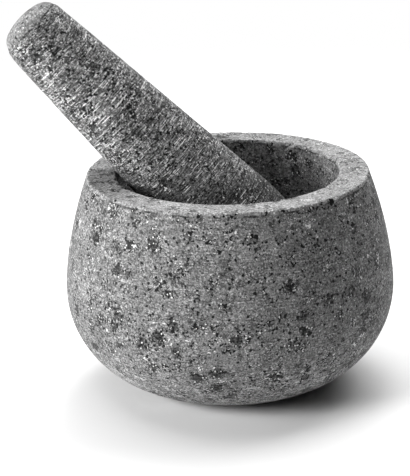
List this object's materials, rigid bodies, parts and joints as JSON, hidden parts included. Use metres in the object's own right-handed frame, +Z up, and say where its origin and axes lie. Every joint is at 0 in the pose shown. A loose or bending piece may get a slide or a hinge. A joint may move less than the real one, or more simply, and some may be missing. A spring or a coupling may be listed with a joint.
{
  "type": "mortar and pestle",
  "caption": "Round-bellied stone mortar with a thick flat rim and a flat base, and a tapered, round-ended stone pestle that leans in it and lifts out, for crushing spices.",
  "frame": {"origin": "centre of the mortar's flat base, on the surface that it stands on", "axes": "+Z up along the bowl's axis; the pestle leans towards -X and 5 degrees towards +Y; -Y faces the viewer"},
  "size_m": [0.1613, 0.14, 0.1656],
  "materials": {
    "mortar_granite": "turned and ground grey granite, matt, fine salt-and-pepper grain",
    "pestle_granite": "turned grey granite, matt, with fine grinding scratches round it"
  },
  "bodies": {
    "mortar": {"mortar": "mortar_granite"},
    "pestle": {"pestle": "pestle_granite"}
  },
  "joints": [
    {"name": "pestle_lift", "type": "slide", "parent": "mortar", "child": "pestle", "axis": [0, 0, 1], "range_m": [0, 0.1]}
  ]
}
